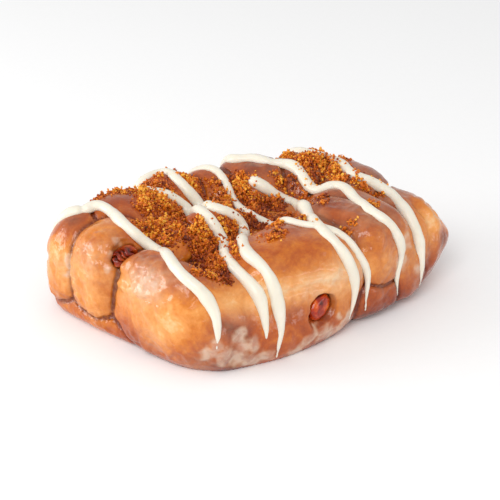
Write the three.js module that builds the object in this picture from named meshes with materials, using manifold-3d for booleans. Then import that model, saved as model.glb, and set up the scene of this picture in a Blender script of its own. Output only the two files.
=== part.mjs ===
// An apple fritter: yeast dough chopped up, pressed back together and fried, so that it is a raft
// of plump pillows with creases between them. Bands of thick white icing run across it from back
// to front and hang down its sides, clumps of brown-sugar crumb lie on its top, and diced apple
// shows in a hole in its front and in a crease at its left end.
// Millimetres, +Z up. X runs along its length, and the front is towards -Y.
import * as THREE from "three";
import { mergeVertices } from "three/addons/utils/BufferGeometryUtils.js";
import Module from "manifold-3d";

const wasm = await Module();
wasm.setup();

// ---- Driving dimensions ----

// The fritter without its icing and crumb.
const LENGTH = 124;
const DEPTH = 101;
const HEIGHT = 39;

// The middle of its footprint, which comes to the origin.
const MIDDLE = [1.2, -0.8];

// How a lump of dough bulges: 2 is an ellipsoid, and more is boxier.
const BULGE = 2.7;
// How fast lumps run into each other, per mm: softly in one pillow, and with a crease between two.
const MELT = 0.22;
const CREASE = 0.5;
// Where two pillows meet the skin is drawn down this deep, over this far on either side.
const GROOVE_DEPTH = 0.9;
const GROOVE_WIDTH = 0.9;

// The pillows. Each lump is its centre x, y, z, its half sizes along its own x, y and z,
// how far it is turned about Z in degrees, and its own bulge where that isn't the usual one.
const PILLOWS = {
  core: [[0, 1, 12, 45, 33, 16, -8]],
  leftBack: [[-46.5, 37, 17, 14.5, 11, 18.7, 0, 2.3]],
  leftMiddle: [[-46.5, 20, 20, 14.5, 12, 18, 0]],
  leftFoot: [[-47.2, 16, 4.2, 11.2, 30, 4.8, 6]],
  frontCorner: [
    [-48, -9, 20, 8.5, 19, 15, 2],
    [-34, -25, 12, 15, 10, 12, 12],
    [-41.5, -8, 8.5, 13, 20, 9, 6],
    [-16, -25, 21, 12, 14, 14, -6],
    [3, -28, 21, 13.5, 16.5, 15, 0],
    [-10, -25, 7, 27, 20, 10.5, -6],
  ],
  frontMiddle: [[21.5, -28, 22, 10.5, 21, 16, 8]],
  middleFoot: [[21, -31, 8, 15, 18, 9, 0]],
  frontRight: [
    [33.5, -24, 21, 8, 21, 16, 6],
    [36, -31, 9, 10, 18, 9, 4],
  ],
  rightTip: [
    [50, -26, 17.4, 10.5, 18.4, 15, 0],
    [52, -37, 17.5, 11, 7.5, 7.5, -41, 1.6],
    [44, -29, 8, 8, 15, 8, 6],
  ],
  backLeft: [
    [-27, 31, 17, 18, 13, 19, 0],
    [-37, 36, 18.5, 10, 10, 16.5, 0],
  ],
  backA: [[-5, 36, 18, 14, 13, 19, 0]],
  backB: [[11, 29, 18, 10, 13, 18, 0]],
  backC: [[25, 21, 20, 14, 16, 19, 0]],
  backRight: [[40, 9, 20, 15, 15, 19, 0]],
  right: [[47, -9, 20, 13, 16, 19, 0]],
  topLeft: [[-29, 9, 20, 13, 12, 14, 0]],
  topMiddle: [[-13, 5, 21, 13, 9, 16, 0]],
};

// The skin starts as a box with round sides outside the dough, and each of its points is drawn in
// towards its own point on a flat form inside, until it meets the dough. Then the points are
// spread evenly over it.
const WRAP_ROOM = 12;
const WRAP_HEADROOM = 6;
const WRAP = {
  x: 0,
  y: 0,
  middle: HEIGHT / 2,
  halfX: LENGTH / 2 + WRAP_ROOM,
  halfY: DEPTH / 2 + WRAP_ROOM,
  halfZ: HEIGHT / 2 + WRAP_HEADROOM,
  bulge: 4,
};
const KERNEL = { x: -1, y: 0, middle: 16, halfX: 43, halfY: 32, halfZ: 3, bulge: 2.5 };
const SKIN_DETAIL = 12;
const FLATTEN = 1.6; // moves the skin's points from the sides to the top and the bottom
const LIFT = 0.3; // and from the bottom to the top
const SPREADS = 6;

// How a point is brought onto the dough: by moves along the slope that each close a share of its
// gap, or by steps along a line until it is inside, and then by halving the last step.
const MOVE_SHARE = 0.8;
const MOVES = 12;
const SHORT_MOVES = 5; // for points that are close already
const STEP_SHARE = 0.6;
const LEAST_STEP = 0.25;
const HALVINGS = 24;
const SLOPE_REACH = 0.05; // the slope is taken over this far on either side
const FLAT = 0.02; // a point this close to the ground lies on it

// The icing bands, each as the points that it runs through from the back to its tail at the front.
const BAND_WIDTH = 4.7;
const BAND_SINK = 0.1; // the middle of a band's round section lies this far under the dough's skin
const BAND_STEP = 5.5;
const BAND_SIDES = 6;
const BAND_SOFTENING = 3; // how often the corners of its route are rounded
const BAND_TAIL = 18; // the length over which a hanging tail thins
const TAIL_TIP = 0.55; // half the width at its tip
const TAIL_BELLY = 0.85; // below 1 a tail keeps its width for longer
const BAND_FLOOR = 0.4; // nothing of a band comes lower than this
// The share of the usual width that a narrower band has.
const NARROW = { innerMiddle: 0.75 };
const BANDS = {
  leftEnd: [
    [-45, 37, 37], [-48, 40, 36], [-50, 42, 36], [-52, 43, 35], [-53, 47, 30], [-54, 48, 18],
  ],
  leftCrest: [
    [-47, 37, 37], [-44, 37, 37], [-41, 37, 37], [-40, 34, 38], [-40, 28, 37], [-44, 19, 38],
    [-44, 13, 36], [-41, 9, 32], [-40, 4, 31], [-46, -8, 35], [-49, -15, 35], [-50, -21, 33],
    [-48, -27, 30], [-47, -32, 24], [-48, -34, 17], [-49, -34, 8],
  ],
  longDrip: [
    [-14, 46, 22], [-13, 44, 33], [-7, 43, 36], [-3, 41, 36], [-3, 38, 37], [-5, 32, 37],
    [-5, 27, 34], [-2, 23, 29], [-7, 14, 32], [-13, 5, 37], [-8, 0, 35], [-5, -3, 29],
    [-12, -10, 30], [-18, -16, 34], [-24, -24, 34], [-25, -33, 33], [-25, -38, 27],
    [-26, -42, 16], [-28, -43, 8], [-28, -43, 1],
  ],
  cornerDrip: [
    [-21, 45, 16], [-19, 42, 33], [-16, 34, 35], [-14, 31, 35], [-12, 27, 33], [-8, 24, 28],
    [-14, 12, 33], [-17, 6, 37], [-18, 1, 36], [-17, -5, 28], [-26, -16, 31], [-29, -23, 30],
    [-30, -31, 28], [-30, -36, 24], [-32, -41, 13], [-32, -41, 6],
  ],
  innerMiddle: [
    [8, 43, 20], [9, 38, 34], [12, 32, 36], [12, 28, 36], [10, 23, 36], [9, 17, 30], [7, 9, 28],
    [6, 0, 28], [5, -10, 29], [1, -20, 36], [2, -27, 37], [7, -33, 36], [9, -39, 34],
    [12, -43, 28], [14, -45, 23], [15, -46, 19], [14, -47, 15], [12, -47, 11], [12, -48, 6],
  ],
  outerMiddle: [
    [16, 15, 36], [19, 9, 33], [22, 4, 29], [26, 0, 28], [20, -8, 31], [15, -15, 35],
    [9, -23, 36], [4, -33, 36], [3, -38, 35], [4, -42, 31], [6, -45, 26], [7, -45, 21],
    [7, -46, 16], [6, -47, 12], [5, -47, 8], [5, -47, 4],
  ],
  innerRight: [
    [25, 38, 18], [24, 35, 28], [22, 30, 35], [20, 26, 38], [24, 24, 39], [26, 20, 39],
    [27, 15, 39], [31, 13, 38], [33, 9, 38], [32, 4, 38], [31, -1, 34], [30, -9, 33],
    [33, -11, 35], [35, -14, 36], [32, -21, 37], [29, -27, 37], [25, -36, 37], [27, -43, 35],
    [29, -47, 28], [31, -47, 22], [28, -48, 14], [28, -48, 6],
  ],
  outerRight: [
    [43, 24, 24], [43, 18, 37], [44, 9, 39], [47, 3, 38], [45, -6, 39], [42, -14, 38],
    [46, -21, 37], [49, -27, 35], [46, -33, 34], [44, -39, 31], [43, -46, 23], [42, -48, 17],
    [40, -50, 12], [41, -49, 5],
  ],
};

// The crumb: where its clumps lie, as x, y and the radius of each, and how high they stand.
const CLUMPS = [
  [-33, 40, 6], [-23, 38, 7], [-20, 27, 8], [-31, 14, 7], [-35, 5, 5], [-23, 0, 6], [-30, -12, 6],
  [-38, -21, 5], [-10, -2, 7], [-8, 6, 5], [1, 25, 7], [11, 16, 7], [15, 5, 6], [5, 1, 6],
  [2, -16, 5], [27, 1, 5], [37, 4, 6], [46, 4, 7], [50, -2, 5], [43, -12, 6], [43, -20, 4],
];
const CLUMP_HEIGHT = 1.7;
const CLUMP_DETAIL = 1;
const CLUMP_ROUGHNESS = 0.45;
const CLUMP_FLOOR = 20; // crumb doesn't run down the sides past this
const CLUMP_PULL = 0.85; // an edge point past it is pulled in by this factor until it isn't
const CLUMP_PULLS = 20;
const CLUMP_SEED = 7;

// The diced apple: its centre, half sizes, the turn about Y and then Z that lays it down, and the
// mouth in the dough that it shows in.
const APPLE_BULGE = 2.6;
const MOUTH_BULGE = 2;
const APPLE_DETAIL = 1;
const BED_GAP = 0.3;
const APPLES = {
  apple_piece_front: {
    centre: [-8.3, -42.6, 14.9],
    half: [5.2, 3.2, 4.2],
    tilt: -32,
    turn: 2,
    mouth: { centre: [-9.1, -46.6, 14.3], half: [7, 4.6, 5] },
  },
  apple_piece_left: {
    centre: [-50.4, 10, 30.6],
    half: [4.8, 3, 2.6],
    tilt: -17,
    turn: -6,
    mouth: { centre: [-50.6, 9.9, 34], half: [5.6, 3.4, 3] },
  },
};

// ---- The dough as a field: below 0 inside it, and about the distance to its skin outside ----

function lumpField([x, y, z, halfX, halfY, halfZ, turn, bulge = BULGE]) {
  const cos = Math.cos(THREE.MathUtils.degToRad(turn));
  const sin = Math.sin(THREE.MathUtils.degToRad(turn));
  return (p) => {
    const dx = p.x - x;
    const dy = p.y - y;
    const u = Math.abs(dx * cos + dy * sin) / halfX;
    const v = Math.abs(dy * cos - dx * sin) / halfY;
    const w = Math.abs(p.z - z) / halfZ;
    const size = (u ** bulge + v ** bulge + w ** bulge + 1e-12) ** (1 / bulge);
    const slope = Math.hypot(
      u ** (bulge - 1) / halfX,
      v ** (bulge - 1) / halfY,
      w ** (bulge - 1) / halfZ,
    );
    return (size - 1) / (size ** (1 - bulge) * slope + 1e-9);
  };
}

function softLeast(distances, rate) {
  const least = Math.min(...distances);
  const sum = distances.reduce((total, d) => total + Math.exp(rate * (least - d)), 0);
  return least - Math.log(sum) / rate;
}

const pillowFields = Object.values(PILLOWS).map((lumps) => {
  const fields = lumps.map(lumpField);
  return (p) => softLeast(fields.map((field) => field(p)), MELT);
});

function raft(p) {
  const distances = pillowFields.map((field) => field(p)).sort((a, b) => a - b);
  const groove = GROOVE_DEPTH * Math.exp((distances[0] - distances[1]) / GROOVE_WIDTH);
  return softLeast(distances, CREASE) + groove;
}

const dough = (p) => Math.max(raft(p), -p.z);

function outward(p) {
  const slope = new THREE.Vector3();
  for (const axis of ["x", "y", "z"]) {
    const ahead = p.clone();
    const behind = p.clone();
    ahead[axis] += SLOPE_REACH;
    behind[axis] -= SLOPE_REACH;
    slope[axis] = dough(ahead) - dough(behind);
  }
  return slope.normalize();
}

function ontoDough(p, moves = MOVES) {
  const q = p.clone();
  for (let move = 0; move < moves; move++) {
    q.addScaledVector(outward(q), -MOVE_SHARE * dough(q));
  }
  return q;
}

// Goes from a point outside along a direction, and stops on the dough, or passes it by.
function drawIn(start, direction) {
  let near = 0;
  let far = 0;
  const at = (t) => start.clone().addScaledVector(direction, t);
  for (let gap = dough(start); gap > 0; gap = dough(at(far))) {
    if (far > LENGTH) return null;
    near = far;
    far += Math.max(LEAST_STEP, STEP_SHARE * gap);
  }
  for (let halving = 0; halving < HALVINGS; halving++) {
    const t = (near + far) / 2;
    if (dough(at(t)) > 0) near = t;
    else far = t;
  }
  const p = at(far);
  if (Math.abs(p.z) < FLAT) p.z = 0;
  return p;
}

// ---- Meshes and solids ----

function mergedShape(geometry) {
  geometry.deleteAttribute("normal");
  geometry.deleteAttribute("uv");
  return mergeVertices(geometry, 1e-4);
}

// Puts every point of a geometry where a rule says.
function reshape(geometry, rule) {
  const shape = mergedShape(geometry);
  const place = shape.getAttribute("position");
  for (let i = 0; i < place.count; i++) {
    const p = rule(new THREE.Vector3().fromBufferAttribute(place, i));
    place.setXYZ(i, p.x, p.y, p.z);
  }
  return shape;
}

function solidOf(shape) {
  const mesh = new wasm.Mesh({
    numProp: 3,
    vertProperties: Float32Array.from(shape.getAttribute("position").array),
    triVerts: Uint32Array.from(shape.index.array),
  });
  return new wasm.Manifold(mesh);
}

function geometryOf(solid) {
  const mesh = solid.getMesh();
  const geometry = new THREE.BufferGeometry();
  geometry.setAttribute("position", new THREE.BufferAttribute(mesh.vertProperties, 3));
  geometry.setIndex(new THREE.BufferAttribute(mesh.triVerts, 1));
  geometry.computeVertexNormals();
  return geometry;
}

// A small generator of numbers from 0 to 1, the same each time for one seed.
function seeded(seed) {
  let state = seed;
  return () => {
    state = (state + 0x6d2b79f5) | 0;
    let t = Math.imul(state ^ (state >>> 15), 1 | state);
    t = (t + Math.imul(t ^ (t >>> 7), 61 | t)) ^ t;
    return ((t ^ (t >>> 14)) >>> 0) / 4294967296;
  };
}

// ---- The pieces ----

// The point of a box with round sides that lies in a given direction.
function onRoundBox(p, { x, y, middle, halfX, halfY, halfZ, bulge }) {
  const size = [p.x, p.y, p.z].reduce((sum, c) => sum + Math.abs(c) ** bulge, 0) ** (1 / bulge);
  return new THREE.Vector3(
    x + (p.x * halfX) / size,
    y + (p.y * halfY) / size,
    middle + (p.z * halfZ) / size,
  );
}

// Moves every point to the middle of its neighbours, and back onto the dough.
function spreadEvenly(shape) {
  const place = shape.getAttribute("position");
  const corners = shape.index.array;
  const around = Array.from({ length: place.count }, () => []);
  for (let i = 0; i < corners.length; i += 3) {
    const [a, b, c] = corners.subarray(i, i + 3);
    around[a].push(b);
    around[b].push(c);
    around[c].push(a);
  }
  const points = around.map((_, i) => new THREE.Vector3().fromBufferAttribute(place, i));
  around.forEach((neighbours, i) => {
    const middle = new THREE.Vector3();
    for (const neighbour of neighbours) middle.add(points[neighbour]);
    const p = ontoDough(middle.divideScalar(neighbours.length), SHORT_MOVES);
    place.setXYZ(i, p.x, p.y, Math.abs(p.z) < FLAT ? 0 : p.z);
  });
}

function doughSolid() {
  const skin = reshape(new THREE.IcosahedronGeometry(1, SKIN_DETAIL), (p) => {
    p.z = FLATTEN * (p.z + LIFT * (1 - p.z * p.z));
    const start = onRoundBox(p, WRAP);
    const inward = onRoundBox(p, KERNEL).sub(start).normalize();
    return drawIn(start, inward);
  });
  for (let pass = 0; pass < SPREADS; pass++) spreadEvenly(skin);
  return solidOf(skin);
}

// A band follows the dough, bridges its narrow creases, and thins to a hanging tail.
function bandSolid([name, points]) {
  const rough = new THREE.CatmullRomCurve3(
    points.map(([x, y, z]) => ontoDough(new THREE.Vector3(x, y, z))),
  );
  const count = Math.round(rough.getLength() / BAND_STEP);
  let route = rough.getSpacedPoints(count).map((p) => ontoDough(p));
  for (let pass = 0; pass < BAND_SOFTENING; pass++) {
    route = route.map((p, i) => {
      if (i === 0 || i === count) return p;
      const mean = route[i - 1].clone().add(route[i + 1]).multiplyScalar(0.25);
      return mean.addScaledVector(p, 0.5);
    });
  }
  route = route.map((p) => (raft(p) < 0 ? ontoDough(p) : p));
  const curve = new THREE.CatmullRomCurve3(route);
  const length = curve.getLength();
  const half = (BAND_WIDTH / 2) * (NARROW[name] ?? 1);
  const capsule = new THREE.CapsuleGeometry(1, length / half - 2, 2, BAND_SIDES, count);
  return solidOf(
    reshape(capsule, (p) => {
      const along = THREE.MathUtils.clamp(0.5 - (p.y * half) / length, 0, 1);
      const middle = curve.getPointAt(along);
      const ahead = curve.getTangentAt(along);
      const up = outward(middle);
      up.addScaledVector(ahead, -up.dot(ahead)).normalize();
      const side = new THREE.Vector3().crossVectors(ahead, up);
      const left = THREE.MathUtils.clamp(((1 - along) * length) / BAND_TAIL, 0, 1);
      const width = THREE.MathUtils.lerp(TAIL_TIP, half, left ** TAIL_BELLY);
      middle.addScaledVector(up, -BAND_SINK * (width / half));
      middle.addScaledVector(side, p.x * width);
      middle.addScaledVector(up, -p.z * width);
      middle.z = Math.max(middle.z, BAND_FLOOR);
      return middle;
    }),
  );
}

// A clump is a thin rough lens that follows the ground it lies on, and stops at its edge.
function clumpSolids() {
  const random = seeded(CLUMP_SEED);
  const ground = (x, y) =>
    drawIn(new THREE.Vector3(x, y, HEIGHT + CLUMP_HEIGHT), new THREE.Vector3(0, 0, -1));
  return CLUMPS.map(([x, y, radius]) =>
    solidOf(
      reshape(new THREE.IcosahedronGeometry(1, CLUMP_DETAIL), (p) => {
        const rough = 1 + CLUMP_ROUGHNESS * (random() - 0.5);
        let reach = radius * rough;
        let foot = ground(x + reach * p.x, y + reach * p.y);
        for (let pull = 0; pull < CLUMP_PULLS && !(foot?.z > CLUMP_FLOOR); pull++) {
          reach *= CLUMP_PULL;
          foot = ground(x + reach * p.x, y + reach * p.y);
        }
        foot.z += CLUMP_HEIGHT * p.z * (p.z > 0 ? 2 * rough - 1 : 1);
        return foot;
      }),
    ),
  );
}

function lumpSolid(centre, half, tilt, turn, bulge, grow) {
  const lie = new THREE.Euler(
    0,
    THREE.MathUtils.degToRad(tilt),
    THREE.MathUtils.degToRad(turn),
    "ZYX",
  );
  return solidOf(
    reshape(new THREE.IcosahedronGeometry(1, APPLE_DETAIL), (p) => {
      const [halfX, halfY, halfZ] = half.map((size) => size + grow);
      const q = onRoundBox(p, { x: 0, y: 0, middle: 0, halfX, halfY, halfZ, bulge });
      return q.applyEuler(lie).add(new THREE.Vector3(...centre));
    }),
  );
}

function appleSolid({ centre, half, tilt, turn }, grow = 0) {
  return lumpSolid(centre, half, tilt, turn, APPLE_BULGE, grow);
}

// The dough with its icing and its clumps of crumb, and a bed in it for each piece of apple.
function fritterSolid() {
  const additions = [...Object.entries(BANDS).map(bandSolid), ...clumpSolids()];
  let fritter = doughSolid();
  for (const { centre, half, tilt, turn, mouth } of Object.values(APPLES)) {
    fritter = fritter.subtract(appleSolid({ centre, half, tilt, turn }, BED_GAP));
    fritter = fritter.subtract(lumpSolid(mouth.centre, mouth.half, tilt, turn, MOUTH_BULGE, 0));
  }
  for (const addition of additions) fritter = fritter.add(addition);
  const bodies = fritter.decompose();
  return bodies.reduce((most, body) => (body.volume() > most.volume() ? body : most));
}

// ---- The fritter ----

const friedDough = new THREE.MeshStandardMaterial({ color: 0xc98a4b, roughness: 0.35, metalness: 0 });
const stewedApple = new THREE.MeshStandardMaterial({ color: 0x8b2e0b, roughness: 0.25, metalness: 0 });

function part(name, solid, material) {
  const mesh = new THREE.Mesh(geometryOf(solid), material);
  mesh.name = name;
  return mesh;
}

const fritter = new THREE.Group();
fritter.position.set(-MIDDLE[0], -MIDDLE[1], 0);
fritter.add(part("fritter", fritterSolid(), friedDough));
for (const [name, apple] of Object.entries(APPLES)) {
  fritter.add(part(name, appleSolid(apple), stewedApple));
}

export default fritter;
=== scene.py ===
# An apple fritter: a raft of fried dough pillows under a thin clear sugar glaze, with bands of
# thick white icing, brown-sugar crumb, and pieces of stewed apple.
import math

import bmesh
import bpy
import numpy as np
from mathutils import Matrix, Vector, noise
from mathutils.bvhtree import BVHTree


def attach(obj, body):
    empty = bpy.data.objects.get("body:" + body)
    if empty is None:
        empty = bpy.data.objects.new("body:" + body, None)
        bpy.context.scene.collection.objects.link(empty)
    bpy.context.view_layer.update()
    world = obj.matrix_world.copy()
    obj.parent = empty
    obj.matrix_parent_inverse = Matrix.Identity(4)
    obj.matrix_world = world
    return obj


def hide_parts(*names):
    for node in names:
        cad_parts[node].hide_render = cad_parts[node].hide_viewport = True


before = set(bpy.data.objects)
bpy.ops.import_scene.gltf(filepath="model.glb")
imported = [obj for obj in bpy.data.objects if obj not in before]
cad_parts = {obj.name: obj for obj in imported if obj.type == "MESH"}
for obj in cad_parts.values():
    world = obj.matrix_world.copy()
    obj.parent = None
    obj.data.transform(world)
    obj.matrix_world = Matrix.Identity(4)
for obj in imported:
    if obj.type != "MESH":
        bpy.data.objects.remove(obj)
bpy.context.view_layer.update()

# Everything is measured in millimetres, as in the CAD, and becomes metres in the finished meshes.
MM = 0.001
# The middle of the fritter's footprint, which comes to the origin.
MIDDLE = Vector((1.2, -0.8, 0))

# ---- The dough's form, the same as the CAD's ----

LENGTH = 124
DEPTH = 101
HEIGHT = 39
BULGE = 2.7  # how full a lump is: 2 makes an ellipsoid, and more makes it squarer
MELT = 0.22  # how softly the lumps of one pillow run together: less is softer
CREASE = 0.5  # the same between one pillow and the next
# Where two pillows meet the skin is drawn down this deep, over this far on either side.
GROOVE_DEPTH = 0.9
GROOVE_WIDTH = 0.9

# The pillows. Each lump is its centre x, y, z, its half sizes along its own x, y and z,
# how far it is turned about Z in degrees, and its own bulge where that isn't the usual one.
PILLOWS = {
    "core": [(0, 1, 12, 45, 33, 16, -8)],
    "left_back": [(-46.5, 37, 17, 14.5, 11, 18.7, 0, 2.3)],
    "left_middle": [(-46.5, 20, 20, 14.5, 12, 18, 0)],
    "left_foot": [(-47.2, 16, 4.2, 11.2, 30, 4.8, 6)],
    "front_corner": [
        (-48, -9, 20, 8.5, 19, 15, 2),
        (-34, -25, 12, 15, 10, 12, 12),
        (-41.5, -8, 8.5, 13, 20, 9, 6),
        (-16, -25, 21, 12, 14, 14, -6),
        (3, -28, 21, 13.5, 16.5, 15, 0),
        (-10, -25, 7, 27, 20, 10.5, -6),
    ],
    "front_middle": [(21.5, -28, 22, 10.5, 21, 16, 8)],
    "middle_foot": [(21, -31, 8, 15, 18, 9, 0)],
    "front_right": [
        (33.5, -24, 21, 8, 21, 16, 6),
        (36, -31, 9, 10, 18, 9, 4),
    ],
    "right_tip": [
        (50, -26, 17.4, 10.5, 18.4, 15, 0),
        (52, -37, 17.5, 11, 7.5, 7.5, -41, 1.6),
        (44, -29, 8, 8, 15, 8, 6),
    ],
    "back_left": [
        (-27, 31, 17, 18, 13, 19, 0),
        (-37, 36, 18.5, 10, 10, 16.5, 0),
    ],
    "back_a": [(-5, 36, 18, 14, 13, 19, 0)],
    "back_b": [(11, 29, 18, 10, 13, 18, 0)],
    "back_c": [(25, 21, 20, 14, 16, 19, 0)],
    "back_right": [(40, 9, 20, 15, 15, 19, 0)],
    "right": [(47, -9, 20, 13, 16, 19, 0)],
    "top_left": [(-29, 9, 20, 13, 12, 14, 0)],
    "top_middle": [(-13, 5, 21, 13, 9, 16, 0)],
}

# The skin starts as a wrap around the fritter, which is drawn in towards a kernel inside it.
WRAP = {
    "centre": (0, 0, HEIGHT / 2),
    "half": (LENGTH / 2 + 12, DEPTH / 2 + 12, HEIGHT / 2 + 6),
}
WRAP_BULGE = 4
KERNEL = {"centre": (-1, 0, 16), "half": (43, 32, 3)}
KERNEL_BULGE = 2.5

# The diced apple, as in the CAD: its centre, half sizes, and its turns about Y and then Z.
APPLE_BULGE = 2.6
BED_GAP = 0.3  # between a piece and the dough that it lies in
APPLES = {
    "apple_piece_front": {
        "centre": (-8.3, -42.6, 14.9), "half": (5.2, 3.2, 4.2), "tilt": -32, "turn": 2
    },
    "apple_piece_left": {
        "centre": (-50.4, 10, 30.6), "half": (4.8, 3, 2.6), "tilt": -17, "turn": -6
    },
}
# Over each piece the dough is open: the hollow's centre, half sizes and turns.
MOUTHS = [
    {"centre": (-9.1, -46.6, 14.3), "half": (7, 4.6, 5), "tilt": -32, "turn": 2},
    {"centre": (-50.6, 9.9, 34), "half": (5.6, 3.4, 3), "tilt": -17, "turn": -6},
]
MOUTH_BULGE = 2

# The icing bands, each from the back to its tail at the front.
BANDS = {
    "left_end": [
        (-45, 37, 37), (-48, 40, 36), (-50, 42, 36), (-52, 43, 35), (-53, 47, 30), (-54, 48, 18),
    ],
    "left_crest": [
        (-47, 37, 37), (-44, 37, 37), (-41, 37, 37), (-40, 34, 38), (-40, 28, 37), (-44, 19, 38),
        (-44, 13, 36), (-41, 9, 32), (-40, 4, 31), (-46, -8, 35), (-49, -15, 35), (-50, -21, 33),
        (-48, -27, 30), (-47, -32, 24), (-48, -34, 17), (-49, -34, 8),
    ],
    "long_drip": [
        (-14, 46, 22), (-13, 44, 33), (-7, 43, 36), (-3, 41, 36), (-3, 38, 37), (-5, 32, 37),
        (-5, 27, 34), (-2, 23, 29), (-7, 14, 32), (-13, 5, 37), (-8, 0, 35), (-5, -3, 29),
        (-12, -10, 30), (-18, -16, 34), (-24, -24, 34), (-25, -33, 33), (-25, -38, 27),
        (-26, -42, 16), (-28, -43, 8), (-28, -43, 1),
    ],
    "corner_drip": [
        (-21, 45, 16), (-19, 42, 33), (-16, 34, 35), (-14, 31, 35), (-12, 27, 33), (-8, 24, 28),
        (-14, 12, 33), (-17, 6, 37), (-18, 1, 36), (-17, -5, 28), (-26, -16, 31), (-29, -23, 30),
        (-30, -31, 28), (-30, -36, 24), (-32, -41, 13), (-32, -41, 6),
    ],
    "inner_middle": [
        (8, 43, 20), (9, 38, 34), (12, 32, 36), (12, 28, 36), (10, 23, 36), (9, 17, 30),
        (7, 9, 28), (6, 0, 28), (5, -10, 29), (1, -20, 36), (2, -27, 37), (7, -33, 36),
        (9, -39, 34), (12, -43, 28), (14, -45, 23), (15, -46, 19), (14, -47, 15), (12, -47, 11),
        (12, -48, 6),
    ],
    "outer_middle": [
        (16, 15, 36), (19, 9, 33), (22, 4, 29), (26, 0, 28), (20, -8, 31), (15, -15, 35),
        (9, -23, 36), (4, -33, 36), (3, -38, 35), (4, -42, 31), (6, -45, 26), (7, -45, 21),
        (7, -46, 16), (6, -47, 12), (5, -47, 8), (5, -47, 4),
    ],
    "inner_right": [
        (25, 38, 18), (24, 35, 28), (22, 30, 35), (20, 26, 38), (24, 24, 39), (26, 20, 39),
        (27, 15, 39), (31, 13, 38), (33, 9, 38), (32, 4, 38), (31, -1, 34), (30, -9, 33),
        (33, -11, 35), (35, -14, 36), (32, -21, 37), (29, -27, 37), (25, -36, 37), (27, -43, 35),
        (29, -47, 28), (31, -47, 22), (28, -48, 14), (28, -48, 6),
    ],
    "outer_right": [
        (43, 24, 24), (43, 18, 37), (44, 9, 39), (47, 3, 38), (45, -6, 39), (42, -14, 38),
        (46, -21, 37), (49, -27, 35), (46, -33, 34), (44, -39, 31), (43, -46, 23), (42, -48, 17),
        (40, -50, 12), (41, -49, 5),
    ],
}
BAND_WIDTH = 4.7
BAND_TAIL = 18  # the length over which a hanging tail thins
TAIL_TIP = 0.5  # half the width at its tip
NARROW = {"inner_middle": 0.75}  # the share of the usual width that a narrower band has


# ---- The dough as a field: below 0 inside it, and about the distance to its skin outside ----

NUDGE = 0.05  # how far out a field is read to find its slope
STRIDE = 0.8  # the share of the way to the skin that a point goes in one pass
# A seam shows where the distances to its two pillows part faster than the first of these, and
# in full from the second.
SEAM_STEEPNESS = (0.15, 0.7)
# Going in from outside: the shortest step, the share of the way that others go, and how often
# the last step is halved.
SHORTEST_STEP = 0.25
STEP_SHARE = 0.6
HALVINGS = 12
SEED_SHIFT = (17.3, 9.1, 5.7)  # how far one seed's noise lies from the next
# A facet's rim is this wide, and it tilts this much.
FACET_RIM = 0.3
FACET_TILT = 1.5


def round_box(local, half, bulge):
    """About how far points in a lump's own axes are outside it."""
    scaled = np.abs(local) / half + 1e-6
    powers = scaled**bulge
    total = powers.sum(axis=1)
    size = total ** (1 / bulge)
    slope = np.sqrt(((powers / scaled / half) ** 2).sum(axis=1))
    return (size - 1) / (size / total * slope + 1e-9)


def lump(points, x, y, z, half_x, half_y, half_z, turn, bulge=BULGE):
    """About how far points are outside a lump of a pillow."""
    cos = math.cos(math.radians(turn))
    sin = math.sin(math.radians(turn))
    dx, dy, dz = (points - (x, y, z)).T
    local = np.stack([dx * cos + dy * sin, dy * cos - dx * sin, dz], axis=1)
    return round_box(local, np.array([half_x, half_y, half_z]), bulge)


def lie(tilt, turn):
    """The matrix of a turn about Y and then about Z."""
    tilted = Matrix.Rotation(math.radians(tilt), 3, "Y")
    return np.array(Matrix.Rotation(math.radians(turn), 3, "Z") @ tilted)


def chunk(points, centre, half, tilt, turn, bulge, grow=0):
    """About how far points are outside a piece of apple, or outside the hollow over it."""
    return round_box((points - centre) @ lie(tilt, turn), np.array(half) + grow, bulge)


def run_together(distances, rate):
    """A soft least of several distances."""
    distances = np.asarray(distances)
    least = distances.min(axis=0)
    return least - np.log(np.exp(rate * (least - distances)).sum(axis=0)) / rate


def pillow_distances(points):
    """How far points are outside each pillow, and by how much the nearest two differ."""
    pillows = np.stack([
        run_together([lump(points, *one) for one in lumps], MELT) for lumps in PILLOWS.values()
    ])
    nearest = np.partition(pillows, 1, axis=0)
    return pillows, nearest[1] - nearest[0]


def seams(points):
    """How far points are from the seam of their two nearest pillows, and how sharp it is there."""
    gap = pillow_distances(points)[1]
    slope = np.stack([
        pillow_distances(points + step)[1] - pillow_distances(points - step)[1]
        for step in NUDGE * np.eye(3)
    ])
    steepness = np.linalg.norm(slope, axis=0) / (2 * NUDGE)
    sharpness = np.interp(steepness, SEAM_STEEPNESS, [0, 1])
    return gap / steepness.clip(SEAM_STEEPNESS[0]), sharpness


def raft(points):
    pillows, gap = pillow_distances(points)
    return run_together(pillows, CREASE) + GROOVE_DEPTH * np.exp(-gap / GROOVE_WIDTH)


def dough(points):
    return np.maximum(raft(points), -points[:, 2])


def bedded_dough(points):
    """The dough with the mouths and the beds of its apple."""
    field = dough(points)
    for mouth in MOUTHS:
        field = np.maximum(field, -chunk(points, bulge=MOUTH_BULGE, **mouth))
    for apple in APPLES.values():
        field = np.maximum(field, -chunk(points, bulge=APPLE_BULGE, grow=BED_GAP, **apple))
    return field


def outward(field, points):
    """The direction out of a field at each point."""
    slope = np.zeros_like(points)
    for corner in ((1, -1, -1), (-1, -1, 1), (-1, 1, -1), (1, 1, 1)):
        corner = np.array(corner, float)
        slope += corner * field(points + corner * NUDGE)[:, None]
    return slope / (np.linalg.norm(slope, axis=1, keepdims=True) + 1e-12)


def onto(field, points, passes):
    """Points moved to a field's skin."""
    for _ in range(passes):
        points = points - STRIDE * field(points)[:, None] * outward(field, points)
    return points


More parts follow.
